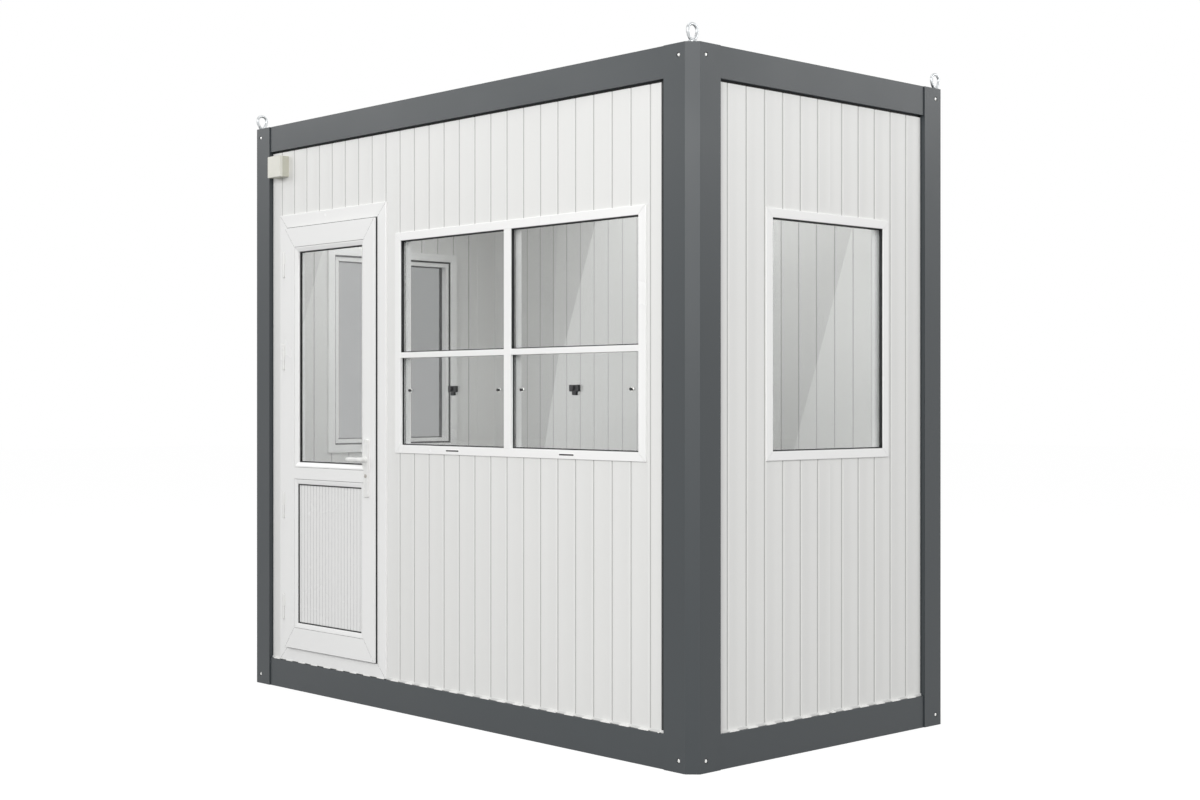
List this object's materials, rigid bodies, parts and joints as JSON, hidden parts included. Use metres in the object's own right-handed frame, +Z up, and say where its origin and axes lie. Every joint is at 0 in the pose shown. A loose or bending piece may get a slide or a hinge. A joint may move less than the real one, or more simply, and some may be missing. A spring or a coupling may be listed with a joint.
{
  "type": "security guard booth",
  "caption": "Small panel-built guard booth with a steel frame, glazed outward-opening door, hatch window, end windows and lifting eyes",
  "frame": {"origin": "on the ground under the middle of the frame, at the underside of the middle floor joist", "axes": "+Z up, X along the long side with the door towards -X, front with door and hatch window faces -Y"},
  "size_m": [2.88, 1.56, 2.672],
  "materials": {
    "frame_steel": "satin anthracite powder coat",
    "galvanised_steel": "hot-dip galvanised",
    "panel_sheet": "satin white coil coat, grooved",
    "window_upvc": "semi-gloss white",
    "glass": "clear, slightly grey",
    "black_plastic": "matt black",
    "white_lacquer": "gloss white powder coat",
    "steel_hardware": "nickel plated",
    "floor_board": "raw cement-bonded board",
    "floor_vinyl": "grey vinyl",
    "box_plastic": "beige moulded plastic"
  },
  "bodies": {
    "cabin": {"back_wall": "panel_sheet", "base_flashing": "white_lacquer", "bottom_rail_back": "frame_steel", "bottom_rail_front": "frame_steel", "bottom_rail_left": "frame_steel", "bottom_rail_right": "frame_steel", "corner_linings": "white_lacquer", "door_frame": "window_upvc", "floor_covering": "floor_vinyl", "floor_deck": "floor_board", "floor_joists": "frame_steel", "front_wall_left": "panel_sheet", "front_wall_over_door": "panel_sheet", "front_wall_window_panel": "panel_sheet", "front_window_frame": "window_upvc", "front_window_glass": "glass", "hatch_glass": "glass", "hatch_latches": "black_plastic", "hinge_frame_halves": "white_lacquer", "junction_box": "box_plastic", "junction_box_lid": "box_plastic", "left_wall": "panel_sheet", "left_window_frame": "window_upvc", "left_window_glass": "glass", "lifting_eyes": "galvanised_steel", "post_back_left": "frame_steel", "post_back_right": "frame_steel", "post_front_left": "frame_steel", "post_front_right": "frame_steel", "right_wall": "panel_sheet", "right_window_frame": "window_upvc", "right_window_glass": "glass", "roof_panel": "panel_sheet", "top_rail_back": "frame_steel", "top_rail_front": "frame_steel", "top_rail_left": "frame_steel", "top_rail_right": "frame_steel"},
    "door": {"door_leaf": "window_upvc", "door_glass": "glass", "door_infill_panel": "window_upvc", "backplate_outside": "white_lacquer", "backplate_inside": "white_lacquer", "lock_cylinder": "steel_hardware", "hinge_leaf_halves": "white_lacquer"},
    "door_lever": {"lever_outside": "white_lacquer", "lever_inside": "white_lacquer", "lever_spindle": "steel_hardware"}
  },
  "joints": [
    {"name": "door_hinge", "type": "hinge", "parent": "cabin", "child": "door", "pos_m": [-1.1665, -0.754, 1.14], "axis": [0, 0, -1], "range_deg": [0, 100]},
    {"name": "lever_turn", "type": "hinge", "parent": "door", "child": "door_lever", "pos_m": [-0.511, -0.732, 1.07], "axis": [0, -1, 0], "range_deg": [0, 40], "stiffness_Nm_per_rad": 0.9, "springref_deg": -20.05}
  ]
}
